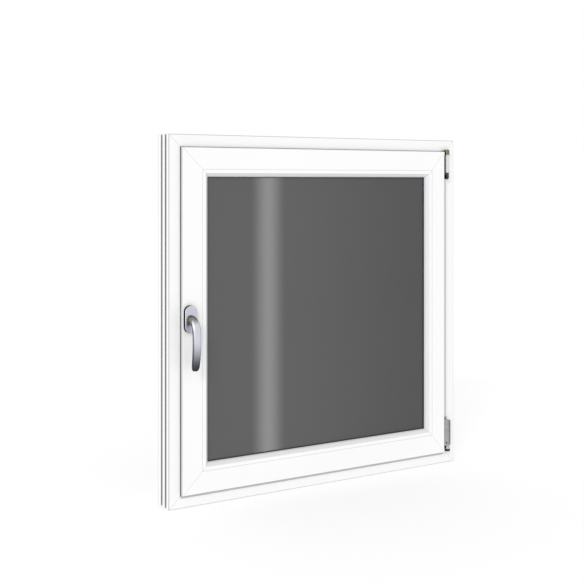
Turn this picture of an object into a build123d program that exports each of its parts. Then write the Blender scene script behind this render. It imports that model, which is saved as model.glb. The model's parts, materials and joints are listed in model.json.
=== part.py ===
from build123d import *
from math import cos, hypot, radians, sin, sqrt
import os

os.makedirs("parts", exist_ok=True)

# Overall size. X runs along the width, +Y points outdoors, +Z up. The origin is on the
# flat middle land of the frame's bottom edge, half way along it.
# Each profile is drawn as a section of points (depth, inset): depth is Y, and inset is the
# distance in from the frame's outer edge. All rings share the diagonals of the frame.
WIDTH = 950.0
HEIGHT = 980.0
FRAME_DEPTH = 70.0

# Frame profile
ROOM_FACE = -FRAME_DEPTH / 2
OUTSIDE_FACE = FRAME_DEPTH / 2
FRAME_FACE_HEIGHT = 41.0
REBATE_FALL = 2.0
STOP_RISE = 22.0
STOP_THICKNESS = 12.0
CHANNEL_DEPTH = 7.0
FIRST_LAND = 14.0
FIRST_CHANNEL = 11.5
MIDDLE_LAND = 13.5
SECOND_CHANNEL = 11.5
FRAME_EDGE_RADIUS = 2.0

# Sash profile
SASH_OVERLAP = 7.0
FLANGE_THICKNESS = 9.0
SEAL_GAP = 3.0
HARDWARE_GAP = 13.0
SASH_FACE_WIDTH = 58.0
SASH_EDGE_RADIUS = 3.0
LEG_FALL = 5.0
GROOVE_SETBACK = 6.0
GROOVE_WIDTH = 12.0
GROOVE_DEPTH = 8.0

# Glazing
PANE_THICKNESS = 4.0
CAVITY = 16.0
GLASS_SEAL = 3.0
BEAD_WIDTH = 14.0
BEAD_HEIGHT = 20.0
BEAD_FLAT = 9.5
BEAD_SLOPE_RUN = 8.5
BEAD_SLOPE_DEPTH = 8.5
BEAD_RADIUS = 2.0
BEAD_FOOT_SETBACK = 4.0
BEAD_FOOT_WIDTH = 6.0
BEAD_FOOT_DEPTH = 3.0
BLOCK_CLEARANCE = 5.0
SPACER_HEIGHT = 7.0
SEALANT_HEIGHT = 4.0
SEAL_SHOW = 2.0
GLASS_SEAL_HEIGHT = 8.0
WEATHER_SEAL_HEIGHT = 4.0
SEAL_SETBACK = 2.5
FLANGE_SEAL_LIP = 1.2
FLANGE_SEAL_RELIEF = 1.0

# Handle
HANDLE_INSET = 54.0
HANDLE_LEVEL = 496.0
ROSETTE_HEIGHT = 72.0
ROSETTE_WIDTH = 34.0
ROSETTE_THICKNESS = 11.0
ROSETTE_BEVEL = 2.0
NECK_RADIUS = 10.0
NECK_CLEARANCE = 0.05
NECK_DEPTH = 7.5
NECK_FLOOR_GAP = 0.5
COLLAR_GAP = 0.3
LEVER_REACH = 131.0
LEVER_PROJECTION = 34.0
GRIP_WIDTH = 24.0
GRIP_THICKNESS = 13.0
FLARE_SHARE = 0.3
TIP_SHARE = 0.86
TIP_SHRINK = 0.95
TIP_LEAN = 20.0
LEVER_SLICES = 20

# Hinges, and how much wider the frame's face is on their side
HINGE_SIDE_EXTRA = 10.0
HINGE_SIDE_LIP = 12.0
HINGE_SIDE_GAP = 8.0
BARREL_RADIUS = 5.0
PIN_RADIUS = 2.5
PIN_CLEARANCE = 0.05
HINGE_SPACE = 0.4
UPPER_HINGE_DROP = 28.5
HEAD_HEIGHT = 15.0
HEAD_RADIUS = 6.5
SLEEVE_HEIGHT = 54.0
LUG_HEIGHT = 13.0
LUG_FOOT_HEIGHT = 6.0
LUG_FOOT_RADIUS = 3.5
SLEEVE_WALL = 0.8
PIN_END = 2.0
BRACKET_WIDTH = 14.0
BRACKET_THICKNESS = 2.0
ARM_THICKNESS = 2.4
ARM_BEARING = 2.1
LOWER_BASE_LEVEL = 37.0
LOWER_BASE_HEIGHT = 7.0
LOWER_PIVOT_HEIGHT = 10.0
LOWER_BASE_RADIUS = 8.0
LOWER_BASE_PLATE = 20.0
PIVOT_RADIUS = 6.5
PIVOT_WAIST_RADIUS = 3.0
LOWER_BAND_HEIGHT = 76.0
LOWER_BAND_WIDTH = 19.0
LOWER_BAND_DEPTH = 10.5
LOWER_BAND_RADIUS = 4.5
TONGUE_HEIGHT = 13.0
TONGUE_WIDTH = 7.5
TONGUE_THICKNESS = 3.0

# Drain caps on the outside face
DRAIN_CAP_LENGTH = 42.0
DRAIN_CAP_HEIGHT = 11.0
DRAIN_CAP_THICKNESS = 3.5
DRAIN_CAP_LEVEL = 22.0
DRAIN_CAP_INSET = 150.0
DRAIN_CAP_RADIUS = 1.5

# Places that follow from the sizes above
STOP_HEIGHT = FRAME_FACE_HEIGHT + STOP_RISE
FLANGE_EDGE = FRAME_FACE_HEIGHT - SASH_OVERLAP
FLANGE_BACK = ROOM_FACE - SEAL_GAP
SASH_FACE = FLANGE_BACK - FLANGE_THICKNESS
STOP_FACE = OUTSIDE_FACE - STOP_THICKNESS
SASH_BACK = STOP_FACE - SEAL_GAP
SASH_REBATE = FRAME_FACE_HEIGHT + HARDWARE_GAP
BEAD_JOINT = FLANGE_EDGE + SASH_FACE_WIDTH
SIGHT_LINE = BEAD_JOINT + BEAD_HEIGHT
BEAD_BACK = SASH_FACE + BEAD_WIDTH
ROOM_PANE_FACE = BEAD_BACK + GLASS_SEAL
CAVITY_FACE = ROOM_PANE_FACE + PANE_THICKNESS
OUTER_PANE_FACE = CAVITY_FACE + CAVITY
UNIT_BACK = OUTER_PANE_FACE + PANE_THICKNESS
LEG_FACE = UNIT_BACK + GLASS_SEAL
GLASS_EDGE = BEAD_JOINT + BLOCK_CLEARANCE

HANDLE_X = -WIDTH / 2 + HANDLE_INSET
ROSETTE_FACE = SASH_FACE - ROSETTE_THICKNESS

HINGE_FLANGE_EDGE = FLANGE_EDGE + HINGE_SIDE_EXTRA
FLANGE_X = WIDTH / 2 - HINGE_FLANGE_EDGE
HINGE_X = FLANGE_X + HINGE_SIDE_GAP + BARREL_RADIUS
HINGE_Y = ROOM_FACE - BRACKET_THICKNESS - HEAD_RADIUS
ARM_X = FLANGE_X - ARM_BEARING
FLANGE_SEAL_HEIGHT = SASH_OVERLAP + FLANGE_SEAL_LIP - FLANGE_SEAL_RELIEF
UPPER_TOP = HEIGHT - UPPER_HINGE_DROP
HEAD_FOOT = UPPER_TOP - HEAD_HEIGHT
SLEEVE_FOOT = HEAD_FOOT - SLEEVE_HEIGHT
UPPER_ARM_LEVELS = (HEAD_FOOT, UPPER_TOP - PIN_END)
LOWER_BASE_TOP = LOWER_BASE_LEVEL + LOWER_BASE_HEIGHT
LOWER_BAND_FOOT = LOWER_BASE_TOP + LOWER_PIVOT_HEIGHT
LOWER_BAND_LEVELS = (LOWER_BAND_FOOT, LOWER_BAND_FOOT + LOWER_BAND_HEIGHT)

# Two corners nearer than this are the same corner
SAME_CORNER = 0.01

# Place and angle about Y that turn a bottom bar into the bar of each side
SIDES = {
    "bottom": (0, 0, 0),
    "left": (-WIDTH / 2, HEIGHT / 2, 90),
    "top": (0, HEIGHT, 180),
    "right": (WIDTH / 2, HEIGHT / 2, -90),
}


def section(points, rounded=(), radius=1.0):
    """A profile section from (depth, inset) points, with the listed corners rounded."""
    face = make_face(Polyline(*points, close=True))
    picks = [
        corner
        for corner in face.vertices()
        if any(hypot(corner.X - y, corner.Y - a) < SAME_CORNER for y, a in rounded)
    ]
    return fillet(picks, radius) if picks else face


def mitred_bar(profile, length):
    """One bar of the section along X, cut at 45 degrees through both outer corners."""
    bar = extrude(Plane.YZ * profile, amount=length / 2, both=True)
    reach = SIGHT_LINE + BEAD_HEIGHT
    corners = [
        (-length / 2, 0),
        (length / 2, 0),
        (length / 2 - reach, reach),
        (-length / 2 + reach, reach),
    ]
    wedge = extrude(Plane.XZ * make_face(Polyline(*corners, close=True)), FRAME_DEPTH, both=True)
    return bar & wedge


def bar_on(side, profile):
    """The mitred bar of one side, in its place in the window."""
    x, z, angle = SIDES[side]
    length = WIDTH if side in ("bottom", "top") else HEIGHT
    return Pos(x, 0, z) * Rot(0, angle, 0) * mitred_bar(profile, length)


def ring(inset, height, front, depth):
    """A closed rectangular ring that starts at the inset and grows inwards."""
    outer = Rectangle(WIDTH - 2 * inset, HEIGHT - 2 * inset)
    inner = Rectangle(WIDTH - 2 * (inset + height), HEIGHT - 2 * (inset + height))
    return Pos(0, front, HEIGHT / 2) * extrude(Plane.XZ * (outer - inner), -depth)


def pane(front):
    """One sheet of glass."""
    sheet = Box(WIDTH - 2 * GLASS_EDGE, PANE_THICKNESS, HEIGHT - 2 * GLASS_EDGE)
    return Pos(0, front + PANE_THICKNESS / 2, HEIGHT / 2) * sheet


def frame_section():
    first = ROOM_FACE + FIRST_LAND
    second = first + FIRST_CHANNEL + MIDDLE_LAND
    points = [
        (ROOM_FACE, 0),
        (first, 0),
        (first, CHANNEL_DEPTH),
        (first + FIRST_CHANNEL, CHANNEL_DEPTH),
        (first + FIRST_CHANNEL, 0),
        (second, 0),
        (second, CHANNEL_DEPTH),
        (second + SECOND_CHANNEL, CHANNEL_DEPTH),
        (second + SECOND_CHANNEL, 0),
        (OUTSIDE_FACE, 0),
        (OUTSIDE_FACE, STOP_HEIGHT),
        (STOP_FACE, STOP_HEIGHT),
        (STOP_FACE, FRAME_FACE_HEIGHT + REBATE_FALL),
        (ROOM_FACE, FRAME_FACE_HEIGHT),
    ]
    rounded = [
        (ROOM_FACE, 0),
        (ROOM_FACE, FRAME_FACE_HEIGHT),
        (OUTSIDE_FACE, 0),
        (OUTSIDE_FACE, STOP_HEIGHT),
    ]
    return section(points, rounded, FRAME_EDGE_RADIUS)


def sash_section(flange_edge):
    """The flange, the hardware groove in the rebate, the glazing leg and the bead's groove."""
    groove = FLANGE_BACK + GROOVE_SETBACK
    foot = SASH_FACE + BEAD_FOOT_SETBACK
    points = [
        (SASH_FACE, flange_edge),
        (FLANGE_BACK, flange_edge),
        (FLANGE_BACK, SASH_REBATE),
        (groove, SASH_REBATE),
        (groove, SASH_REBATE + GROOVE_DEPTH),
        (groove + GROOVE_WIDTH, SASH_REBATE + GROOVE_DEPTH),
        (groove + GROOVE_WIDTH, SASH_REBATE),
        (SASH_BACK, SASH_REBATE),
        (SASH_BACK, SIGHT_LINE - LEG_FALL),
        (LEG_FACE, SIGHT_LINE),
        (LEG_FACE, BEAD_JOINT),
        (foot + BEAD_FOOT_WIDTH, BEAD_JOINT),
        (foot + BEAD_FOOT_WIDTH, BEAD_JOINT - BEAD_FOOT_DEPTH),
        (foot, BEAD_JOINT - BEAD_FOOT_DEPTH),
        (foot, BEAD_JOINT),
        (SASH_FACE, BEAD_JOINT),
    ]
    return section(points, [(SASH_FACE, flange_edge)], SASH_EDGE_RADIUS)


def bead_section():
    """The bead: a flat, a slope down to the glass, and the foot that clips into the sash."""
    foot = SASH_FACE + BEAD_FOOT_SETBACK
    slope_foot = (SASH_FACE + BEAD_SLOPE_DEPTH, BEAD_JOINT + BEAD_FLAT + BEAD_SLOPE_RUN)
    points = [
        (SASH_FACE, BEAD_JOINT),
        (SASH_FACE, BEAD_JOINT + BEAD_FLAT),
        slope_foot,
        (BEAD_BACK, SIGHT_LINE),
        (BEAD_BACK, BEAD_JOINT),
        (foot + BEAD_FOOT_WIDTH, BEAD_JOINT),
        (foot + BEAD_FOOT_WIDTH, BEAD_JOINT - BEAD_FOOT_DEPTH),
        (foot, BEAD_JOINT - BEAD_FOOT_DEPTH),
        (foot, BEAD_JOINT),
    ]
    return section(points, [(SASH_FACE, BEAD_JOINT + BEAD_FLAT)], BEAD_RADIUS)


def make_hinge_jamb():
    """The jamb that carries the hinges: its face is wider, with a lip under the sash's flange."""
    face_edge = WIDTH / 2 - FRAME_FACE_HEIGHT
    end = FRAME_FACE_HEIGHT + REBATE_FALL * HINGE_SIDE_LIP / (STOP_FACE - ROOM_FACE)
    lip = block(
        (face_edge - HINGE_SIDE_EXTRA, face_edge + FRAME_EDGE_RADIUS),
        (ROOM_FACE, ROOM_FACE + HINGE_SIDE_LIP),
        (end, HEIGHT - end),
    )
    return bar_on("right", frame_profile) + lip


def make_sash_rail(side):
    """A mitred rail, its flange cut short in line with the hinge stile's."""
    beyond = block((FLANGE_X, WIDTH / 2), (SASH_FACE, FLANGE_BACK), (0, HEIGHT))
    return bar_on(side, sash_profile) - beyond


def make_flange_seal():
    """The seal behind the sash's flange, notched where the hinges' arms pass."""
    edge = FLANGE_EDGE - FLANGE_SEAL_LIP
    inner = edge + FLANGE_SEAL_HEIGHT
    inner_x = FLANGE_X + FLANGE_SEAL_LIP - FLANGE_SEAL_HEIGHT
    seal = block((edge - WIDTH / 2, FLANGE_X + FLANGE_SEAL_LIP), (FLANGE_BACK, ROOM_FACE), (edge, HEIGHT - edge))
    seal -= block((inner - WIDTH / 2, inner_x), (FLANGE_BACK, ROOM_FACE), (inner, HEIGHT - inner))
    for low, high in (UPPER_ARM_LEVELS, LOWER_BAND_LEVELS):
        seal -= block(
            (ARM_X - HINGE_SPACE, FLANGE_X + BARREL_RADIUS),
            (FLANGE_BACK, ROOM_FACE),
            (low - HINGE_SPACE, high + HINGE_SPACE),
        )
    return seal


def make_rosette():
    """The oval cover plate, with the bore that the lever's neck turns in."""
    plate = extrude(Plane.XZ * SlotOverall(ROSETTE_HEIGHT, ROSETTE_WIDTH, rotation=90), ROSETTE_THICKNESS)
    plate = Pos(HANDLE_X, SASH_FACE, HANDLE_LEVEL) * plate
    rim = plate.faces().sort_by(Axis.Y)[0].edges()
    plate = chamfer(rim, ROSETTE_BEVEL)
    bore = Cylinder(NECK_RADIUS + NECK_CLEARANCE, NECK_DEPTH + NECK_FLOOR_GAP, rotation=(90, 0, 0))
    return plate - Pos(HANDLE_X, ROSETTE_FACE + (NECK_DEPTH + NECK_FLOOR_GAP) / 2, HANDLE_LEVEL) * bore


def lever_slice(path, share):
    """An oval slice square to the path: round at the neck, wide at the grip, small at the tip."""
    ease = min(1.0, share / FLARE_SHARE)
    width = 2 * NECK_RADIUS + ease * (GRIP_WIDTH - 2 * NECK_RADIUS)
    thickness = 2 * NECK_RADIUS + ease * (GRIP_THICKNESS - 2 * NECK_RADIUS)
    past = max(0.0, (share - TIP_SHARE) / (1.0 - TIP_SHARE))
    shrink = sqrt(1.0 - TIP_SHRINK * past**2)
    place = Plane(origin=path @ share, x_dir=(1, 0, 0), z_dir=path % share)
    return place * Ellipse(shrink * width / 2, shrink * thickness / 2)


def make_lever():
    """The turned neck, and the oval bar that bends down from it and bows back to its tip."""
    neck = Cylinder(NECK_RADIUS, NECK_DEPTH + COLLAR_GAP, rotation=(90, 0, 0))
    neck_middle = ROSETTE_FACE + (NECK_DEPTH - COLLAR_GAP) / 2
    bends = [
        (0, 0),
        (0.35, 0.01),
        (0.66, 0.055),
        (0.88, 0.135),
        (0.985, 0.26),
        (1.0, 0.46),
        (0.94, 0.68),
        (0.81, 0.87),
        (0.70, 1.0),
    ]
    points = [(0, -out * LEVER_PROJECTION, -down * LEVER_REACH) for out, down in bends]
    path = Spline(*points, tangents=[(0, -1, 0), (0, sin(radians(TIP_LEAN)), -cos(radians(TIP_LEAN)))])
    slices = [lever_slice(path, step / LEVER_SLICES) for step in range(LEVER_SLICES + 1)]
    bar = Pos(HANDLE_X, ROSETTE_FACE - COLLAR_GAP, HANDLE_LEVEL) * loft(slices, ruled=True)
    return Pos(HANDLE_X, neck_middle, HANDLE_LEVEL) * neck + bar


def upright(radius, low, high):
    """A round bar on the hinge axis between two levels."""
    return Pos(HINGE_X, HINGE_Y, (low + high) / 2) * Cylinder(radius, high - low)


def block(x_range, y_range, z_range):
    """A block between two values on each axis."""
    spans = [(min(pair), max(pair)) for pair in (x_range, y_range, z_range)]
    middle = [(low + high) / 2 for low, high in spans]
    return Pos(*middle) * Box(*[high - low for low, high in spans])


def wall_plate(width, low, high):
    """A flat plate on the frame's face, round at its corners, centred on the hinge axis."""
    plate = block(
        (HINGE_X - width / 2, HINGE_X + width / 2), (ROOM_FACE - BRACKET_THICKNESS, ROOM_FACE), (low, high)
    )
    return fillet(plate.edges().filter_by(Axis.Y), BRACKET_THICKNESS)


def make_upper_hinge():
    """The frame's bracket, the sash's arm and knuckle, the cover sleeve, and the pin."""
    lug_top = SLEEVE_FOOT - HINGE_SPACE
    lug_foot = lug_top - LUG_HEIGHT
    foot = lug_foot - LUG_FOOT_HEIGHT
    hole = upright(PIN_RADIUS + PIN_CLEARANCE, foot, UPPER_TOP)
    bracket = wall_plate(BRACKET_WIDTH, foot, HEAD_FOOT - HINGE_SPACE)
    bracket += upright(BARREL_RADIUS, lug_foot, lug_top)
    bracket += block((HINGE_X - PIN_RADIUS, HINGE_X + PIN_RADIUS), (HINGE_Y, ROOM_FACE), (foot, lug_top))
    lug_end = Cone(LUG_FOOT_RADIUS, BARREL_RADIUS, LUG_FOOT_HEIGHT)
    bracket += Pos(HINGE_X, HINGE_Y, (foot + lug_foot) / 2) * lug_end
    knuckle = upright(HEAD_RADIUS, HEAD_FOOT, UPPER_TOP)
    knuckle += upright(BARREL_RADIUS - SLEEVE_WALL, SLEEVE_FOOT, HEAD_FOOT)
    arm_y = (FLANGE_BACK, FLANGE_BACK + ARM_THICKNESS)
    knuckle += block((ARM_X, HINGE_X), arm_y, UPPER_ARM_LEVELS)
    knuckle += block((HINGE_X - HEAD_RADIUS, HINGE_X), (HINGE_Y, arm_y[1]), UPPER_ARM_LEVELS)
    sleeve = upright(BARREL_RADIUS, SLEEVE_FOOT, HEAD_FOOT - HINGE_SPACE)
    sleeve -= upright(BARREL_RADIUS - SLEEVE_WALL, SLEEVE_FOOT, HEAD_FOOT)
    return {
        "upper_hinge_bracket": bracket - hole,
        "upper_hinge_knuckle": knuckle - hole,
        "upper_hinge_sleeve": sleeve,
        "upper_hinge_pin": upright(PIN_RADIUS, foot - PIN_END, UPPER_TOP + PIN_END),
    }


def make_lower_hinge():
    """The frame's bearing, the waisted pivot on it, and the sash's band with its tongue."""
    base = wall_plate(LOWER_BASE_PLATE, LOWER_BASE_LEVEL, LOWER_BASE_TOP)
    base += upright(LOWER_BASE_RADIUS, LOWER_BASE_LEVEL, LOWER_BASE_TOP)
    band_foot, band_top = LOWER_BAND_LEVELS
    pivot_outline = [
        (0, LOWER_BASE_TOP),
        (PIVOT_RADIUS, LOWER_BASE_TOP),
        (PIVOT_WAIST_RADIUS, LOWER_BASE_TOP + LOWER_PIVOT_HEIGHT / 2),
        (PIVOT_RADIUS, band_foot),
        (0, band_foot),
    ]
    pivot = revolve(Plane.XZ * make_face(Polyline(*pivot_outline, close=True)), Axis.Z)
    inner_x = FLANGE_X + HINGE_SPACE
    back = ROOM_FACE - HINGE_SPACE
    front = back - LOWER_BAND_DEPTH
    band = block((inner_x, inner_x + LOWER_BAND_WIDTH), (front, back), LOWER_BAND_LEVELS)
    corner = band.edges().filter_by(Axis.Z).sort_by(Axis.Y)[:2].sort_by(Axis.X)[1]
    band = fillet(corner, LOWER_BAND_RADIUS)
    tongue_levels = (band_top, band_top + TONGUE_HEIGHT)
    band += block((inner_x, inner_x + TONGUE_WIDTH), (front, front + TONGUE_THICKNESS), tongue_levels)
    band += block((ARM_X, inner_x), (FLANGE_BACK, back), LOWER_BAND_LEVELS)
    return {
        "lower_hinge_bearing": base,
        "lower_hinge_pivot": Pos(HINGE_X, HINGE_Y, 0) * pivot,
        "lower_hinge_band": band,
    }


def make_drain_caps():
    """Two flat covers over the drain slots, low on the outside face."""
    cap = Box(DRAIN_CAP_LENGTH, DRAIN_CAP_THICKNESS, DRAIN_CAP_HEIGHT)
    cap = fillet(cap.faces().sort_by(Axis.Y)[-1].edges(), DRAIN_CAP_RADIUS)
    x = WIDTH / 2 - DRAIN_CAP_INSET
    y = OUTSIDE_FACE + DRAIN_CAP_THICKNESS / 2
    return Compound(children=[Pos(side * x, y, DRAIN_CAP_LEVEL) * cap for side in (-1, 1)])


frame_profile = frame_section()
sash_profile = sash_section(FLANGE_EDGE)
bead_profile = bead_section()

nodes = {
    "frame_head": bar_on("top", frame_profile),
    "frame_bottom_rail": bar_on("bottom", frame_profile),
    "frame_left_jamb": bar_on("left", frame_profile),
    "frame_right_jamb": make_hinge_jamb(),
    "sash_top_rail": make_sash_rail("top"),
    "sash_bottom_rail": make_sash_rail("bottom"),
    "sash_handle_stile": bar_on("left", sash_profile),
    "sash_hinge_stile": bar_on("right", sash_section(HINGE_FLANGE_EDGE)),
    "bead_top": bar_on("top", bead_profile),
    "bead_bottom": bar_on("bottom", bead_profile),
    "bead_left": bar_on("left", bead_profile),
    "bead_right": bar_on("right", bead_profile),
    "room_pane": pane(ROOM_PANE_FACE),
    "outer_pane": pane(OUTER_PANE_FACE),
    "spacer_frame": ring(GLASS_EDGE + SEALANT_HEIGHT, SPACER_HEIGHT, CAVITY_FACE, CAVITY),
    "edge_sealant": ring(GLASS_EDGE, SEALANT_HEIGHT, CAVITY_FACE, CAVITY),
    "room_glass_seal": ring(
        SIGHT_LINE + SEAL_SHOW - GLASS_SEAL_HEIGHT, GLASS_SEAL_HEIGHT, BEAD_BACK, GLASS_SEAL
    ),
    "outer_glass_seal": ring(
        SIGHT_LINE + SEAL_SHOW - GLASS_SEAL_HEIGHT, GLASS_SEAL_HEIGHT, UNIT_BACK, GLASS_SEAL
    ),
    "sash_flange_seal": make_flange_seal(),
    "frame_stop_seal": ring(SASH_REBATE + SEAL_SETBACK, WEATHER_SEAL_HEIGHT, SASH_BACK, SEAL_GAP),
    "handle_rosette": make_rosette(),
    "handle_lever": make_lever(),
    "drain_caps": make_drain_caps(),
}
nodes.update(make_upper_hinge())
nodes.update(make_lower_hinge())

for name, shape in nodes.items():
    export_step(shape, f"parts/{name}.step")
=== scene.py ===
import json
import math

import bmesh
import bpy
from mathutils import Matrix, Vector


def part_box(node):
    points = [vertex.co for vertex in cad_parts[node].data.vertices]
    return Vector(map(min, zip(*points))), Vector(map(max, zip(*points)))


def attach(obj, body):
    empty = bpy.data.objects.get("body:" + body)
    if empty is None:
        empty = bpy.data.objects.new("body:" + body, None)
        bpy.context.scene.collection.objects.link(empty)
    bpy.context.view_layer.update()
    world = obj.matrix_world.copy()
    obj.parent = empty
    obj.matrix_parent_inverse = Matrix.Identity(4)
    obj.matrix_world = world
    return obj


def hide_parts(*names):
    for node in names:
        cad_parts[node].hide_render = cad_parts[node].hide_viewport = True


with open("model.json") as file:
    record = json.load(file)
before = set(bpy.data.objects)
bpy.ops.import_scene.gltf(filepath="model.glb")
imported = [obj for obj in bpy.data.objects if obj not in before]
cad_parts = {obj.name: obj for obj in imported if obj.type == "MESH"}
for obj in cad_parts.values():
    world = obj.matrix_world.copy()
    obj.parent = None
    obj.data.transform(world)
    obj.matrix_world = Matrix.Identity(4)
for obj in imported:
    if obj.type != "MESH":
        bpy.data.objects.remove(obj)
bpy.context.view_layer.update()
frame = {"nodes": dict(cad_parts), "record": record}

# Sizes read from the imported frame, in metres
FRAME_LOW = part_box("frame_bottom_rail")[0]
FRAME_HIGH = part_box("frame_head")[1]
WIDTH = FRAME_HIGH.x - FRAME_LOW.x
HEIGHT = FRAME_HIGH.z - FRAME_LOW.z
ROOM_FACE = FRAME_LOW.y
OUTSIDE_FACE = FRAME_HIGH.y
SASH_LOW, SASH_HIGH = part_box("sash_bottom_rail")
ROSETTE_LOW, ROSETTE_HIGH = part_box("handle_rosette")
BAND_LOW, BAND_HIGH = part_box("lower_hinge_band")
PIVOT_LOW, PIVOT_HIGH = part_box("lower_hinge_pivot")
SLEEVE_LOW, SLEEVE_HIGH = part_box("upper_hinge_sleeve")
KNUCKLE_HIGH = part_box("upper_hinge_knuckle")[1]
LEVER_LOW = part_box("handle_lever")[0]

# Depths, and insets from the frame's outer edge
SASH_FACE = SASH_LOW.y
FLANGE_EDGE = SASH_LOW.z
HINGE_FLANGE_EDGE = FRAME_HIGH.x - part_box("sash_hinge_stile")[1].x
SIGHT_LINE = SASH_HIGH.z
BEAD_WIDTH = 0.020
BEAD_JOINT = SIGHT_LINE - BEAD_WIDTH
CHANNEL_DEPTH = 0.007
REAR_EDGE = 0.0285

# A hair's breadth, for telling faces apart and for setting one just off another
HAIR = 0.0001

# The handle's turning axis, and the axis that both hinges share
HANDLE_X = (ROSETTE_LOW.x + ROSETTE_HIGH.x) / 2
HANDLE_Z = (ROSETTE_LOW.z + ROSETTE_HIGH.z) / 2
HINGE_X = (PIVOT_LOW.x + PIVOT_HIGH.x) / 2
HINGE_Y = (PIVOT_LOW.y + PIVOT_HIGH.y) / 2

# The camera stands in the room, left of the window, and looks level
IMAGE_SIZE = 584
CAMERA_PLACE = (-1.6042, -2.540, 0.8566)
CAMERA_YAW = 30.96
FOCAL_PIXELS = 1050.6
HORIZON_ROW = 181.1
SENSOR = 36.0

# Light levels: a strength of 1 is white
BACKGROUND_WHITE = 1.0
ROOM_LIGHT = 0.85
FLOOR_COLOUR = 0.45
FLOOR_LIFT = 0.59
SUN_STRENGTH = 0.68
SUN_SPREAD = 15.0
SUN_FROM = (-0.74, -0.68, 0.6)

# The lever's rings: how far out and down, tilt in degrees, half the width and half the thickness
NECK_RADIUS = 0.010
NECK_START = 0.005
NECK_SIDES = 20
LEVER_RINGS = (
    (0.001, 0.000, 0, 0.0102, 0.0102),
    (0.003, 0.0005, 4, 0.0117, 0.0118),
    (0.012, 0.003, 14, 0.0119, 0.0124),
    (0.022, 0.0095, 44, 0.0119, 0.0104),
    (0.030, 0.018, 65, 0.0119, 0.0073),
    (0.0335, 0.034, 82, 0.0121, 0.0067),
    (0.034, 0.060, 92, 0.0121, 0.0065),
    (0.032, 0.089, 100, 0.0119, 0.0064),
    (0.0275, 0.114, 107, 0.0116, 0.0062),
    (0.0255, 0.124, 110, 0.0108, 0.0056),
    (0.0242, 0.1295, 110, 0.0086, 0.0042),
    (0.0238, 0.131, 110, 0.0040, 0.0020),
)

# The cover plate's bore and rounded rim
PLATE_SIDES = 48
BORE_RADIUS = 0.0106
BORE_DEPTH = 0.0085
RIM_ROUNDING = 0.0022

# A screw's head and its recess
SCREW_SIDES = 18
SCREW_RADIUS = 0.0023
SCREW_HEIGHT = 0.0012
RECESS_DEPTH = 0.0007

# The screws' places on the lower hinge's band and its tongue, in from the band's edges
SCREW_PROUD = 0.0004
TONGUE_SCREW_IN = 0.0042
TONGUE_SCREW_DOWN = 0.0065
BAND_SCREW_IN = 0.0104
LOW_SCREW_UP = 0.008
HIGH_SCREW_DOWN = 0.024

# The pivot's radius, and how much of it is left at each share of its half height
PIVOT_RADIUS = 0.0064
PIVOT_SIDES = 28
PIVOT_WAIST = ((0.0, 0.36), (1 / 3, 0.5), (2 / 3, 0.8))

# Colours
PLASTIC_WHITE = (0.93, 0.93, 0.93)
# Grey of the weld and joint lines, and of the painted shade along the edges and on the outer sides'
# rearmost strip
PLASTIC_LINE_AND_SHADE = (0.48, 0.48, 0.49)
# Painted shade in the outer channels
CHANNEL_SHADE = (0.34, 0.34, 0.36)
BEAD_SHADE = (0.80, 0.80, 0.82)
HANDLE_FACE = (0.64, 0.66, 0.73)
ROSETTE_FACE = (0.56, 0.58, 0.645)
# Painted dark reflection towards the lever's tip
HANDLE_TIP_DARK_REFLECTION = (0.05, 0.053, 0.06)
HANDLE_EDGE = (0.22, 0.22, 0.24)
# Painted dark reflections on the grip's and the rosette's sides
GRIP_SIDE_DARK_REFLECTION = (0.035, 0.035, 0.04)
ROSETTE_SIDE_DARK_REFLECTION = (0.055, 0.053, 0.056)
# Painted shade and dark reflection on the lever's neck
NECK_SHADE = (0.25, 0.225, 0.205)
RIM_SHADE = 0.85
COVER_WHITE = (0.96, 0.96, 0.96)
SPACER_GREY = (0.4, 0.41, 0.42)
PIVOT_CREAM = (0.72, 0.70, 0.58)
ZINC_GREY = (0.47, 0.475, 0.49)
COATED_BLACK = (0.06, 0.06, 0.065)
SLATE_GREY = (0.26, 0.27, 0.32)
BRONZE = (0.24, 0.205, 0.145)
GLASS_DARK = (0.088, 0.088, 0.09)
GLASS_LIGHT = (0.094, 0.094, 0.096)
SEAL_LEVEL = 0.02
# The lip and strip rubbers' levels, which the strips standing in for the sash's shade and shadow wear
LIP_LEVEL = 0.3
STRIP_LEVEL = 0.55

# Lines in the plastic, the welds and joints real and the arris and flange lines painted shade: half
# the width at full strength, half the width where it ends, and strength
WELD_LINE = (0.0003, 0.0013, 0.6)
JOINT_LINE = (0.0003, 0.0012, 0.6)
ARRIS_SHADE = (0.0012, 0.0024, 1.0)
FLANGE_SHADE = (0.0008, 0.0022, 0.55)
# Strength of the painted shade on the rearmost strip of the outer sides
REAR_LAND_SHADE_STRENGTH = 0.33

# Where the handle's painted dark reflections and painted shade change, each from nought to full
SIDE_BELOW_AXIS = (0.03, 0.012)
FACE_TURN = (0.2, 0.6)
TOP_TURN = (0.4, 0.85)
RIM_OFF_MIDDLE = (0.0084, 0.0102)
NECK_OFF_PLATE = (0.027, 0.019)
TIP_HEIGHT = (0.006, 0.086)


def make_camera():
    """The photograph's view: a level camera, with the height of the horizon set by the shift."""
    data = bpy.data.cameras.new("photo_camera")
    data.sensor_width = SENSOR
    data.lens = SENSOR * FOCAL_PIXELS / IMAGE_SIZE
    data.shift_y = (HORIZON_ROW - IMAGE_SIZE / 2) / IMAGE_SIZE
    data.clip_start = 0.01
    data.clip_end = 100.0
    camera = bpy.data.objects.new("photo_camera", data)
    bpy.context.collection.objects.link(camera)
    camera.location = CAMERA_PLACE
    camera.rotation_euler = (math.radians(90), 0, -math.radians(CAMERA_YAW))
    bpy.context.scene.camera = camera


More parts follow.
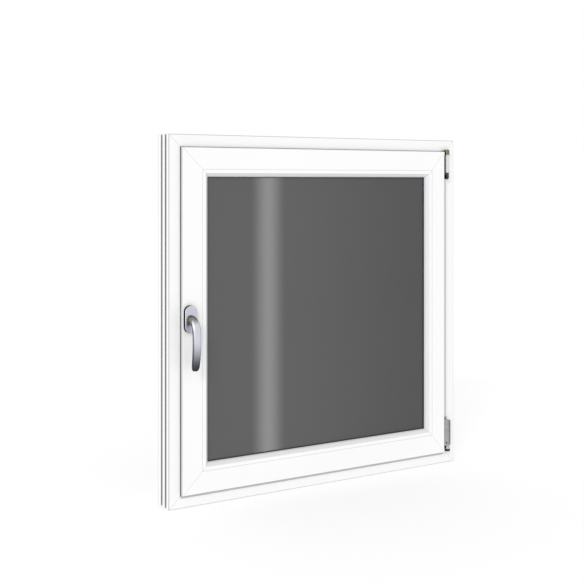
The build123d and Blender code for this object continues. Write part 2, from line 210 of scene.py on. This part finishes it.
class Nodes:
    """Adds and joins the nodes of one material's tree."""

    def __init__(self, tree):
        self.tree = tree
        tree.nodes.clear()

    def add(self, kind, inputs=None, **settings):
        node = self.tree.nodes.new(kind)
        for name, value in settings.items():
            setattr(node, name, value)
        for name, value in (inputs or {}).items():
            socket = node.inputs[name]
            if isinstance(value, bpy.types.NodeSocket):
                self.tree.links.new(value, socket)
            else:
                socket.default_value = value
        return node

    def math(self, operation, first, second=0.0, third=0.0):
        values = {0: first, 1: second, 2: third}
        return self.add("ShaderNodeMath", values, operation=operation).outputs[0]

    def ramp(self, value, low, high, at_low, at_high):
        """A smooth step from one value to another as the input goes from low to high."""
        limits = {
            "Value": value,
            "From Min": low,
            "From Max": high,
            "To Min": at_low,
            "To Max": at_high,
        }
        return self.add("ShaderNodeMapRange", limits, interpolation_type="SMOOTHSTEP").outputs[0]

    def mix(self, factor, first, second):
        colours = {"Factor": factor, "A": first, "B": second}
        return self.add("ShaderNodeMix", colours, data_type="RGBA").outputs["Result"]

    def place(self):
        """The point on the object as separate X, Y and Z."""
        point = self.add("ShaderNodeTexCoord").outputs["Object"]
        return self.add("ShaderNodeSeparateXYZ", {0: point})

    def noise(self, scale, detail=2.0, stretch=(1, 1, 1)):
        point = self.add("ShaderNodeTexCoord").outputs["Object"]
        stretched = self.add("ShaderNodeMapping", {"Vector": point, "Scale": stretch}).outputs[0]
        inputs = {"Vector": stretched, "Scale": scale, "Detail": detail}
        return self.add("ShaderNodeTexNoise", inputs).outputs[0]

    def bump(self, height, distance, strength=1.0):
        values = {"Height": height, "Distance": distance, "Strength": strength}
        return self.add("ShaderNodeBump", values).outputs[0]

    def finish(self, inputs):
        """Closes the tree with the main shader and the output."""
        shader = self.add("ShaderNodeBsdfPrincipled", inputs)
        self.add("ShaderNodeOutputMaterial", {"Surface": shader.outputs[0]})


def new_material(name):
    material = bpy.data.materials.new(name)
    material.use_nodes = True
    return material, Nodes(material.node_tree)


def background_rays(nodes):
    """One for rays that see the background: straight from the camera, glossy or through glass."""
    path = nodes.add("ShaderNodeLightPath")
    seen = nodes.math("MAXIMUM", path.outputs["Is Camera Ray"], path.outputs["Is Glossy Ray"])
    return nodes.math("MAXIMUM", seen, path.outputs["Is Transmission Ray"])


def make_world():
    world = bpy.data.worlds.new("studio")
    world.use_nodes = True
    bpy.context.scene.world = world
    nodes = Nodes(world.node_tree)
    lift = BACKGROUND_WHITE - ROOM_LIGHT
    level = nodes.math("MULTIPLY_ADD", background_rays(nodes), lift, ROOM_LIGHT)
    light = nodes.add("ShaderNodeBackground", {"Color": (1, 1, 1, 1), "Strength": level})
    nodes.add("ShaderNodeOutputWorld", {"Surface": light.outputs[0]})


def make_floor():
    """A pale floor that glows a little, so that it looks white and still takes the shadow."""
    bpy.ops.mesh.primitive_plane_add(size=40, location=(0, 0, FRAME_LOW.z - 0.001))
    floor = bpy.context.object
    floor.name = "floor"
    material, nodes = new_material("pale_floor")
    pale = (FLOOR_COLOUR, FLOOR_COLOUR, FLOOR_COLOUR, 1)
    diffuse = nodes.add("ShaderNodeBsdfDiffuse", {"Color": pale})
    glow = nodes.add("ShaderNodeEmission", {"Color": (1, 1, 1, 1), "Strength": FLOOR_LIFT})
    both = nodes.add("ShaderNodeAddShader", {0: diffuse.outputs[0], 1: glow.outputs[0]})
    nodes.add("ShaderNodeOutputMaterial", {"Surface": both.outputs[0]})
    floor.data.materials.append(material)


def make_light():
    """One soft lamp from the upper left of the room."""
    data = bpy.data.lights.new("studio_light", "SUN")
    data.energy = SUN_STRENGTH
    data.angle = math.radians(SUN_SPREAD)
    lamp = bpy.data.objects.new("studio_light", data)
    bpy.context.collection.objects.link(lamp)
    lamp.rotation_euler = Vector(SUN_FROM).to_track_quat("Z", "Y").to_euler()
    lamp.visible_glossy = False


# The card that the glass mirrors, and the bright stripe down it
CARD_DEPTH = -0.40
CARD_WEST = -0.20
CARD_EAST = 0.68
CARD_TOP = 0.875
CARD_LEVEL = 1.2
CARD_EAST_LEVEL = 0.52
STRIPE_PLACE = 0.036
STRIPE_WIDTH = 0.066
STRIPE_GAIN = 3.5

# The cards at the side that light the handle: place, reach in Y and Z, and levels front and back
STREAK_CARD = {"x": -2.2, "y_range": (-3.1, 0.1), "z_range": (-1.0, 2.6), "levels": (1.6, 3.2)}
LEVER_CARD = {"x": -0.385, "y_range": (-0.15, -0.06), "z_range": (0.34, 0.53), "levels": (1.0, 1.0)}


def glossy_only(thing):
    """Leaves a stage card to mirror-like rays alone."""
    thing.visible_camera = False
    thing.visible_diffuse = False
    thing.visible_transmission = False
    thing.visible_shadow = False
    thing.visible_volume_scatter = False


def finish_card(card, material, nodes, level):
    """Makes a stage card glow at the level, and show in reflections alone."""
    glow = nodes.add("ShaderNodeEmission", {"Color": (1, 1, 1, 1), "Strength": level})
    nodes.add("ShaderNodeOutputMaterial", {"Surface": glow.outputs[0]})
    material.cycles.emission_sampling = "NONE"
    card.data.materials.append(material)
    glossy_only(card)


def make_window_light_card():
    """A pale card with one bright upright stripe, which shows only as the glass's reflection."""
    middle = ((CARD_WEST + CARD_EAST) / 2, CARD_DEPTH, CARD_TOP / 2)
    bpy.ops.mesh.primitive_plane_add(size=1, location=middle, rotation=(math.radians(90), 0, 0))
    card = bpy.context.object
    card.name = "reflection_card"
    card.scale = (CARD_EAST - CARD_WEST, CARD_TOP, 1)
    bpy.ops.object.transform_apply(location=True, rotation=True, scale=True)
    material, nodes = new_material("reflection_card")
    x = nodes.place().outputs["X"]
    base = nodes.ramp(x, STRIPE_PLACE, CARD_EAST, CARD_LEVEL, CARD_EAST_LEVEL)
    stripe = nodes.ramp(gap_between(nodes, x, STRIPE_PLACE), 0.0, STRIPE_WIDTH, STRIPE_GAIN, 0.0)
    finish_card(card, material, nodes, nodes.math("ADD", base, stripe))


def make_upright_card(name, x, y_range, z_range, levels):
    """A card facing sideways, glowing from one level at its front to another at its back."""
    middle = (x, sum(y_range) / 2, sum(z_range) / 2)
    bpy.ops.mesh.primitive_plane_add(size=1, location=middle, rotation=(0, math.radians(90), 0))
    card = bpy.context.object
    card.name = name
    card.scale = (z_range[1] - z_range[0], y_range[1] - y_range[0], 1)
    bpy.ops.object.transform_apply(location=True, rotation=True, scale=True)
    material, nodes = new_material(name)
    level = nodes.ramp(nodes.place().outputs["Y"], *y_range, *levels)
    finish_card(card, material, nodes, level)


def faded_line(nodes, distance, line):
    """A thin line where the distance is nought."""
    full, gone, strength = line
    return nodes.ramp(distance, full, gone, strength, 0.0)


def gap_between(nodes, first, second):
    """How far apart two distances are."""
    return nodes.math("ABSOLUTE", nodes.math("SUBTRACT", first, second))


def side_inset_for_welds(nodes, place, from_side):
    """The inset from the side, stretched on the hinge stile so that its welds meet the flange."""
    stretched = nodes.add("ShaderNodeMapRange", {
        "Value": from_side,
        "From Min": HINGE_FLANGE_EDGE,
        "From Max": BEAD_JOINT,
        "To Min": FLANGE_EDGE,
        "To Max": BEAD_JOINT,
    }).outputs[0]
    on_sash = nodes.math("LESS_THAN", place.outputs["Y"], ROOM_FACE - 0.0005)
    on_right = nodes.math("GREATER_THAN", place.outputs["X"], 0.0)
    on_hinge_side = nodes.math("MULTIPLY", on_right, on_sash)
    in_stile = nodes.math("MULTIPLY", on_hinge_side, nodes.math("LESS_THAN", from_side, BEAD_JOINT))
    return nodes.add("ShaderNodeMix", {"Factor": in_stile, "A": from_side, "B": stretched}).outputs[0]


def profile_lines(nodes, place, from_side, from_end):
    """The corner welds and the beads' joints, and painted shade in fine lines along the profiles'
    outer edges and the sash's flange edge.
    """
    depth = place.outputs["Y"]
    inset = nodes.math("MINIMUM", from_side, from_end)
    weld_side = side_inset_for_welds(nodes, place, from_side)
    behind_face = nodes.math("SUBTRACT", depth, ROOM_FACE)
    before_back = nodes.math("SUBTRACT", OUTSIDE_FACE, depth)
    from_face = nodes.math("ABSOLUTE", nodes.math("MINIMUM", behind_face, before_back))
    flange_inset = nodes.math("MINIMUM", weld_side, from_end)
    weld = faded_line(nodes, gap_between(nodes, weld_side, from_end), WELD_LINE)
    joint = faded_line(nodes, gap_between(nodes, inset, BEAD_JOINT), JOINT_LINE)
    # Painted shade: a grey line along the outer arrises, and one along the sash's flange edge
    arris_shade = faded_line(nodes, nodes.math("MAXIMUM", inset, from_face), ARRIS_SHADE)
    flange = faded_line(nodes, gap_between(nodes, flange_inset, FLANGE_EDGE), FLANGE_SHADE)
    edges = nodes.math("MAXIMUM", arris_shade, flange)
    return nodes.math("MAXIMUM", nodes.math("MAXIMUM", weld, joint), edges)


def channel_shade_mask(nodes, depth, inset):
    """One inside the channels round the frame's outer edge, where shade is painted."""
    inside = nodes.math("LESS_THAN", inset, CHANNEL_DEPTH + 0.0005)
    off_land = nodes.math("GREATER_THAN", inset, 0.0008)
    off_faces = nodes.math("LESS_THAN", nodes.math("ABSOLUTE", depth), OUTSIDE_FACE - 0.001)
    return nodes.math("MULTIPLY", nodes.math("MULTIPLY", inside, off_land), off_faces)


def bead_slopes(nodes, depth, inset):
    """One on the sloping faces of the beads."""
    behind_sash_face = nodes.ramp(depth, SASH_FACE + 0.0002, SASH_FACE + 0.001, 0.0, 1.0)
    past_joint = nodes.math("GREATER_THAN", inset, BEAD_JOINT + 0.002)
    return nodes.math("MULTIPLY", behind_sash_face, past_joint)


def white_plastic(name, colour):
    """Smooth white plastic, with weld lines and bead joints, and painted shade along the edges, on
    the beads' slopes, on the outer sides' rearmost strip and in the outer channels.
    """
    material, nodes = new_material(name)
    place = nodes.place()
    depth = place.outputs["Y"]
    from_side = nodes.math("SUBTRACT", WIDTH / 2, nodes.math("ABSOLUTE", place.outputs["X"]))
    from_top = nodes.math("SUBTRACT", HEIGHT, place.outputs["Z"])
    from_end = nodes.math("MINIMUM", place.outputs["Z"], from_top)
    inset = nodes.math("MINIMUM", from_side, from_end)
    lines = profile_lines(nodes, place, from_side, from_end)
    shaded = nodes.mix(bead_slopes(nodes, depth, inset), (*colour, 1), (*BEAD_SHADE, 1))
    # Painted shade: the rearmost strip of the outer sides a little grey
    at_rear = nodes.ramp(depth, REAR_EDGE, REAR_EDGE + 0.001, 0.0, REAR_LAND_SHADE_STRENGTH)
    rear_land_shade = nodes.math("MULTIPLY", at_rear, nodes.math("LESS_THAN", inset, 0.0008))
    lined = nodes.mix(nodes.math("MAXIMUM", lines, rear_land_shade), shaded, (*PLASTIC_LINE_AND_SHADE, 1))
    # Painted shade: the outer channels darkened where shade falls in them
    tone = nodes.mix(channel_shade_mask(nodes, depth, inset), lined, (*CHANNEL_SHADE, 1))
    cloud = nodes.noise(14.0, 3.0)
    grain = nodes.noise(900.0, 2.0)
    nodes.finish({
        "Base Color": tone,
        "Roughness": nodes.ramp(cloud, 0.3, 0.7, 0.30, 0.40),
        "IOR": 1.49,
        "Normal": nodes.bump(grain, 0.00002, 0.3),
    })
    return material


def tinted_glass():
    """Grey sheet glass, nearly black behind its own reflection."""
    material, nodes = new_material("tinted_glass")
    cloud = nodes.noise(3.0, 1.0)
    tone = nodes.mix(cloud, (*GLASS_DARK, 1), (*GLASS_LIGHT, 1))
    nodes.finish({
        "Base Color": tone,
        "Roughness": 0.02,
        "IOR": 1.5,
        "Transmission Weight": 0.15,
    })
    return material


def satin_metal(name, face, side, grip_side_reflection, rimmed=False):
    """Brushed anodised metal, with painted dark reflections on its sides and towards the lever's tip;
    where rimmed, also on the lever's rim, with painted shade and dark reflection on its neck.
    """
    material, nodes = new_material(name)
    normal = nodes.add("ShaderNodeNewGeometry").outputs["Normal"]
    turned = nodes.add("ShaderNodeSeparateXYZ", {0: normal})
    facing = nodes.math("ABSOLUTE", turned.outputs["Y"])
    place = nodes.place()
    level = place.outputs["Z"]
    # Painted dark reflection: faces turned sideways take the side tone, darker below the axis
    below_axis = [HANDLE_Z - drop for drop in SIDE_BELOW_AXIS]
    edge = nodes.mix(nodes.ramp(level, *below_axis, 0.0, 1.0), (*grip_side_reflection, 1), (*side, 1))
    tone = nodes.mix(nodes.ramp(facing, *FACE_TURN, 0.0, 1.0), edge, (*face, 1))
    if rimmed:
        # Painted dark reflection along the lever's rim, off its middle
        off_middle = gap_between(nodes, place.outputs["X"], HANDLE_X)
        rim = nodes.math("MULTIPLY", nodes.ramp(off_middle, *RIM_OFF_MIDDLE, 0.0, 1.0), RIM_SHADE)
        tone = nodes.mix(rim, tone, edge)
        # Painted shade and dark reflection on the neck near the plate and on upward faces
        neck_depths = [ROSETTE_LOW.y - gap for gap in NECK_OFF_PLATE]
        on_neck = nodes.ramp(place.outputs["Y"], *neck_depths, 0.0, 1.0)
        on_top = nodes.ramp(turned.outputs["Z"], *TOP_TURN, 0.0, 1.0)
        tone = nodes.mix(nodes.math("MAXIMUM", on_neck, on_top), tone, (*NECK_SHADE, 1))
    # Painted dark reflection, darker towards the lever's tip
    above_tip = nodes.math("SUBTRACT", level, LEVER_LOW.z)
    tone = nodes.mix(nodes.ramp(above_tip, *TIP_HEIGHT, 0.0, 1.0), (*HANDLE_TIP_DARK_REFLECTION, 1), tone)
    brushing = nodes.noise(60.0, 3.0, (12, 12, 0.6))
    cloud = nodes.noise(40.0, 2.0)
    nodes.finish({
        "Base Color": tone,
        "Metallic": 1.0,
        "Roughness": nodes.ramp(cloud, 0.25, 0.75, 0.24, 0.32),
        "Specular Tint": (*HANDLE_EDGE, 1),
        "Normal": nodes.bump(brushing, 0.00002, 0.3),
    })
    return material


def plated_metal(name, colour, rough, metallic=1.0):
    """Plated or coated steel with slight mottling, or plain plastic where metallic is nought."""
    material, nodes = new_material(name)
    cloud = nodes.noise(180.0, 3.0)
    dark = tuple(part * 0.75 for part in colour)
    tone = nodes.mix(nodes.ramp(cloud, 0.3, 0.7, 0.0, 1.0), (*dark, 1), (*colour, 1))
    nodes.finish({
        "Base Color": tone,
        "Metallic": metallic,
        "Roughness": nodes.ramp(cloud, 0.2, 0.8, rough - 0.06, rough + 0.08),
        "Normal": nodes.bump(cloud, 0.00005, 0.3),
    })
    return material


def seal_rubber(name, level):
    """Matt rubber with a fine grain."""
    material, nodes = new_material(name)
    grain = nodes.noise(700.0, 3.0)
    dark = (level * 0.85, level * 0.85, level * 0.88, 1)
    light = (level * 1.15, level * 1.15, level * 1.2, 1)
    tone = nodes.mix(grain, dark, light)
    nodes.finish({
        "Base Color": tone,
        "Roughness": nodes.ramp(grain, 0.3, 0.7, 0.55, 0.7),
        "Normal": nodes.bump(grain, 0.00006, 0.5),
    })
    return material


def dress_nodes():
    """Gives every CAD node the finish of its slot."""
    finishes = {
        "white_pvc": white_plastic("white_profile_plastic", PLASTIC_WHITE),
        "white_cover": white_plastic("white_cover_plastic", COVER_WHITE),
        "tinted_glass": tinted_glass(),
        "spacer_metal": plated_metal("spacer_metal", SPACER_GREY, 0.4),
        "seal_rubber": seal_rubber("seal_rubber", SEAL_LEVEL),
        "lip_rubber": seal_rubber("lip_rubber", LIP_LEVEL),
        "strip_rubber": seal_rubber("strip_rubber", STRIP_LEVEL),
        "satin_aluminium": satin_metal("satin_lever", HANDLE_FACE, NECK_SHADE, GRIP_SIDE_DARK_REFLECTION, rimmed=True),
        "satin_rosette": satin_metal("satin_rosette", ROSETTE_FACE, ROSETTE_SIDE_DARK_REFLECTION, ROSETTE_SIDE_DARK_REFLECTION),
        "pale_plastic": plated_metal("pale_plastic", PIVOT_CREAM, 0.4, 0.0),
        "hinge_zinc": plated_metal("hinge_zinc", ZINC_GREY, 0.35),
        "hinge_dark": plated_metal("hinge_dark", COATED_BLACK, 0.3),
        "slate_metal": plated_metal("slate_metal", SLATE_GREY, 0.35),
        "hinge_bronze": plated_metal("hinge_bronze", BRONZE, 0.35),
    }
    for part in frame["record"]["subparts"]:
        piece = frame["nodes"][part["node"]]
        piece.data.materials.clear()
        piece.data.materials.append(finishes[part["material_slot"]])
    return finishes


def begin_edit(piece):
    """Selects the piece alone and opens its mesh."""
    bpy.ops.object.select_all(action="DESELECT")
    piece.select_set(True)
    bpy.context.view_layer.objects.active = piece
    bpy.ops.object.mode_set(mode="EDIT")


def pick(piece, kind, test):
    """In edit mode, selects the piece's vertices, edges or faces that pass the test."""
    bpy.ops.mesh.select_mode(type={"verts": "VERT", "edges": "EDGE", "faces": "FACE"}[kind])
    bpy.ops.mesh.select_all(action="DESELECT")
    mesh = bmesh.from_edit_mesh(piece.data)
    for element in getattr(mesh, kind):
        element.select_set(test(element))
    bmesh.update_edit_mesh(piece.data)


def end_edit(smooth_angle=None):
    """Turns all faces outwards, leaves edit mode and smooths faces that meet under the angle."""
    bpy.ops.mesh.select_all(action="SELECT")
    bpy.ops.mesh.normals_make_consistent(inside=False)
    bpy.ops.object.mode_set(mode="OBJECT")
    if smooth_angle:
        bpy.ops.object.shade_smooth_by_angle(angle=math.radians(smooth_angle))


def settle(name):
    """Names the new primitive and puts its place and turn into its mesh."""
    bpy.ops.object.transform_apply(location=True, rotation=True, scale=True)
    bpy.context.object.name = name
    return bpy.context.object


def finish_piece(piece, material, body="window"):
    """Gives a finished piece its material and the body that it rides on."""
    piece.data.materials.clear()
    piece.data.materials.append(material)
    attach(piece, body)


def make_lever_bar(material):
    """The lever: a round neck that flares, bends down and ends in a blunt, rounded tip."""
    here = Vector((HANDLE_X, ROSETTE_LOW.y + NECK_START, HANDLE_Z))
    bpy.ops.mesh.primitive_circle_add(
        vertices=NECK_SIDES, radius=NECK_RADIUS, fill_type="NGON",
        location=here, rotation=(math.radians(90), 0, 0),
    )
    lever = settle("lever_bar")
    begin_edit(lever)
    width, thickness, tilt = NECK_RADIUS, NECK_RADIUS, 0.0
    for out, down, new_tilt, new_width, new_thickness in LEVER_RINGS:
        there = Vector((HANDLE_X, ROSETTE_LOW.y - out, HANDLE_Z - down))
        bpy.ops.mesh.extrude_region_move(TRANSFORM_OT_translate={"value": there - here})
        around = {"orient_axis": "X", "center_override": there}
        bpy.ops.transform.rotate(value=math.radians(tilt), **around)
        stretch = (new_width / width, 1, new_thickness / thickness)
        bpy.ops.transform.resize(value=stretch, center_override=there)
        bpy.ops.transform.rotate(value=-math.radians(new_tilt), **around)
        here, width, thickness, tilt = there, new_width, new_thickness, new_tilt
    end_edit()
    bpy.ops.object.modifier_add(type="SUBSURF")
    lever.modifiers[0].levels = 2
    bpy.ops.object.modifier_apply(modifier=lever.modifiers[0].name)
    bpy.ops.object.shade_smooth()
    finish_piece(lever, material, "handle")
    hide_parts("handle_lever")


def in_bore(point):
    """True for a point of the cover plate that lies on its bore."""
    return math.hypot(point.x - HANDLE_X, point.z - HANDLE_Z) < BORE_RADIUS + 0.0004


def on_plate_rim(point):
    """True for a point on the front rim of the cover plate."""
    return point.y < ROSETTE_LOW.y + HAIR and not in_bore(point)


def make_cover_plate(material):
    """The rosette: an oval plate with a rounded rim, and the bore that the lever's neck turns in."""
    face_place = (HANDLE_X, ROSETTE_LOW.y, HANDLE_Z)
    turned = (math.radians(90), 0, 0)
    half_width = (ROSETTE_HIGH.x - ROSETTE_LOW.x) / 2
    half_height = (ROSETTE_HIGH.z - ROSETTE_LOW.z) / 2
    bpy.ops.mesh.primitive_circle_add(
        vertices=PLATE_SIDES, radius=half_width, location=face_place, rotation=turned
    )
    plate = settle("cover_plate")
    begin_edit(plate)
    for side in (-1, 1):
        pick(plate, "verts", lambda vertex: (vertex.co.z - HANDLE_Z) * side > HAIR)
        bpy.ops.transform.translate(value=(0, 0, side * (half_height - half_width)))
    pick(plate, "edges", lambda edge: True)
    thickness = ROSETTE_HIGH.y - ROSETTE_LOW.y
    bpy.ops.mesh.extrude_edges_move(TRANSFORM_OT_translate={"value": (0, thickness, 0)})
    bpy.ops.mesh.edge_face_add()
    pick(plate, "verts", lambda vertex: False)
    bpy.ops.mesh.primitive_circle_add(
        vertices=PLATE_SIDES, radius=BORE_RADIUS, location=face_place, rotation=turned
    )
    pick(plate, "edges", lambda edge: max(v.co.y for v in edge.verts) < ROSETTE_LOW.y + HAIR)
    bpy.ops.mesh.bridge_edge_loops()
    pick(plate, "edges", lambda edge: all(in_bore(v.co) for v in edge.verts))
    bpy.ops.mesh.extrude_edges_move(TRANSFORM_OT_translate={"value": (0, BORE_DEPTH, 0)})
    bpy.ops.mesh.edge_face_add()
    pick(plate, "edges", lambda edge: all(on_plate_rim(v.co) for v in edge.verts))
    bpy.ops.mesh.bevel(offset=RIM_ROUNDING, segments=4)
    end_edit(40)
    finish_piece(plate, material)
    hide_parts("handle_rosette")


def make_screw(name, place):
    """A screw head facing the room, with a rounded rim and a recess in its middle."""
    bpy.ops.mesh.primitive_cylinder_add(
        vertices=SCREW_SIDES, radius=SCREW_RADIUS, depth=SCREW_HEIGHT,
        location=place, rotation=(math.radians(90), 0, 0),
    )
    screw = settle(name)
    front = place.y - SCREW_HEIGHT / 2
    begin_edit(screw)
    pick(screw, "edges", lambda edge: all(v.co.y < front + HAIR for v in edge.verts))
    bpy.ops.mesh.bevel(offset=SCREW_RADIUS * 0.16, segments=2)
    pick(screw, "faces", lambda face: all(v.co.y < front + HAIR for v in face.verts))
    bpy.ops.mesh.inset(thickness=SCREW_RADIUS * 0.42)
    bpy.ops.mesh.extrude_region_move(TRANSFORM_OT_translate={"value": (0, RECESS_DEPTH, 0)})
    bpy.ops.transform.resize(value=(0.8, 1, 0.8))
    end_edit(35)
    return screw


def copy_piece(piece, name, shift):
    """A copy with a mesh of its own, moved within that mesh."""
    bpy.ops.object.select_all(action="DESELECT")
    piece.select_set(True)
    bpy.context.view_layer.objects.active = piece
    bpy.ops.object.duplicate(linked=False)
    copy = bpy.context.object
    copy.name = name
    begin_edit(copy)
    bpy.ops.mesh.select_all(action="SELECT")
    bpy.ops.transform.translate(value=shift)
    bpy.ops.object.mode_set(mode="OBJECT")
    return copy


def make_hinge_screws(dark, zinc):
    """One screw on the lower hinge's tongue, and its two copies on the band."""
    tongue_x = BAND_LOW.x + TONGUE_SCREW_IN
    tongue_z = BAND_HIGH.z - TONGUE_SCREW_DOWN
    first = make_screw("tongue_screw", Vector((tongue_x, BAND_LOW.y - SCREW_PROUD, tongue_z)))
    across = BAND_LOW.x + BAND_SCREW_IN - tongue_x
    low = copy_piece(first, "band_screw_low", (across, 0, BAND_LOW.z + LOW_SCREW_UP - tongue_z))
    high = copy_piece(first, "band_screw_high", (across, 0, BAND_HIGH.z - HIGH_SCREW_DOWN - tongue_z))
    for screw in (first, low):
        finish_piece(screw, dark)
    finish_piece(high, zinc)


def make_bevelled_bar(name, low, high, edge, material):
    """A small moulding, oblong with rounded edges, between two corners."""
    middle = [(a + b) / 2 for a, b in zip(low, high)]
    bpy.ops.mesh.primitive_cube_add(size=1, location=middle)
    bpy.context.object.scale = [b - a for a, b in zip(low, high)]
    bar = settle(name)
    begin_edit(bar)
    pick(bar, "edges", lambda edge: True)
    bpy.ops.mesh.bevel(offset=edge, segments=3)
    end_edit(40)
    finish_piece(bar, material)


def make_pivot(material, dark):
    """The lower hinge's waisted pivot in pale plastic, and a dark block behind it that stands in for
    the shade round its waist.
    """
    middle = (PIVOT_LOW.z + PIVOT_HIGH.z) / 2
    half = (PIVOT_HIGH.z - PIVOT_LOW.z) / 2
    bpy.ops.mesh.primitive_cylinder_add(
        vertices=PIVOT_SIDES, radius=PIVOT_RADIUS, depth=2 * half, location=(HINGE_X, HINGE_Y, middle)
    )
    pivot = settle("pivot_waist")
    begin_edit(pivot)
    pick(pivot, "edges", lambda edge: abs(edge.verts[0].co.z - edge.verts[1].co.z) > half)
    bpy.ops.mesh.subdivide(number_cuts=5)
    for share, scale in PIVOT_WAIST:
        pick(pivot, "verts", lambda v: abs(abs(v.co.z - middle) - share * half) < 0.0003)
        bpy.ops.transform.resize(value=(scale, scale, 1), center_override=(HINGE_X, HINGE_Y, middle))
    end_edit(50)
    finish_piece(pivot, material)
    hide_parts("lower_hinge_pivot")
    # Painted shade: a dark block behind the pivot, showing round its waist
    pivot_shade_low = (HINGE_X - 0.0072, HINGE_Y + 0.0045, PIVOT_LOW.z)
    pivot_shade_high = (HINGE_X + 0.0105, ROOM_FACE - 0.0003, PIVOT_HIGH.z + 0.0004)
    make_bevelled_bar("pivot_shade_backing", pivot_shade_low, pivot_shade_high, 0.0006, dark)


def make_hinge_details(finishes):
    """Screws and a cover edge on the lower hinge; a hook, a slate rod whose dark also stands in for
    the shade left of the sleeve, and a key on the upper one.
    """
    dark, zinc, bronze = finishes["hinge_dark"], finishes["hinge_zinc"], finishes["hinge_bronze"]
    slate = finishes["slate_metal"]
    make_hinge_screws(dark, zinc)
    # Each moulding's two corners are measured from the CAD piece that carries it
    edge_low = (BAND_HIGH.x - 0.0042, BAND_LOW.y + 0.0006, BAND_LOW.z + 0.0004)
    edge_high = (BAND_HIGH.x + 0.005, ROOM_FACE - 0.0006, BAND_HIGH.z - 0.0136)
    make_bevelled_bar("band_cover_edge", edge_low, edge_high, 0.0012, slate)
    hook_low = (HINGE_X - 0.0118, HINGE_Y - 0.006, KNUCKLE_HIGH.z - 0.0042)
    hook_high = (HINGE_X - 0.002, HINGE_Y + 0.003, KNUCKLE_HIGH.z - 0.0008)
    make_bevelled_bar("upper_hinge_hook", hook_low, hook_high, 0.0009, bronze)
    # Painted shade in part: the slate rod fills the gap left of the sleeve, which lies in shade
    rod_low = (SLEEVE_LOW.x - 0.0036, HINGE_Y + 0.0005, SLEEVE_LOW.z - 0.006)
    rod_high = (SLEEVE_LOW.x - 0.0012, HINGE_Y + 0.0035, SLEEVE_HIGH.z - 0.0005)
    make_bevelled_bar("upper_hinge_shade_rod", rod_low, rod_high, 0.0007, slate)
    key_low = (HINGE_X - 0.0011, HINGE_Y - 0.0056, SLEEVE_LOW.z - 0.0125)
    key_high = (HINGE_X + 0.0007, HINGE_Y - 0.0042, SLEEVE_LOW.z - 0.0015)
    make_bevelled_bar("upper_hinge_key", key_low, key_high, 0.0004, bronze)


def make_shadow_strips(material, dark):
    """Painted shade and shadow: the grey strip on the hinge stile's edge stands in for the shade
    beside the sash, the dark lip and grey step under the sash for its shadow on the frame.
    """
    right = FRAME_HIGH.x - HINGE_FLANGE_EDGE
    back = ROOM_FACE - HAIR
    # Painted shade: a grey strip beside the sash's hinge side
    strip_low = (right + HAIR, SASH_FACE + 0.0012, BAND_HIGH.z + 0.001)
    strip_high = (right + 0.0062, back, SLEEVE_LOW.z - 0.021)
    make_bevelled_bar("hinge_side_shadow_strip", strip_low, strip_high, 0.0008, material)
    # Painted shadow: a dark lip and a grey step under the sash
    lip_low = (FLANGE_EDGE - WIDTH / 2, back - 0.0016, FLANGE_EDGE - 0.0022)
    lip_high = (right + 0.001, back, FLANGE_EDGE + 0.001)
    make_bevelled_bar("bottom_shadow_lip", lip_low, lip_high, 0.0005, dark)
    step_low = (lip_low[0], back - 0.0008, FLANGE_EDGE - 0.0078)
    step_high = (lip_high[0], back, FLANGE_EDGE - 0.0023)
    make_bevelled_bar("bottom_shadow_step", step_low, step_high, 0.0003, material)


make_camera()
make_world()
make_floor()
make_light()
make_window_light_card()
make_upright_card("streak_card", **STREAK_CARD)
make_upright_card("lever_card", **LEVER_CARD)
finishes = dress_nodes()
make_lever_bar(finishes["satin_aluminium"])
make_cover_plate(finishes["satin_rosette"])
make_pivot(finishes["pale_plastic"], finishes["hinge_dark"])
make_hinge_details(finishes)
make_shadow_strips(finishes["strip_rubber"], finishes["lip_rubber"])

bpy.context.scene.view_settings.view_transform = "Standard"
bpy.context.view_layer.update()
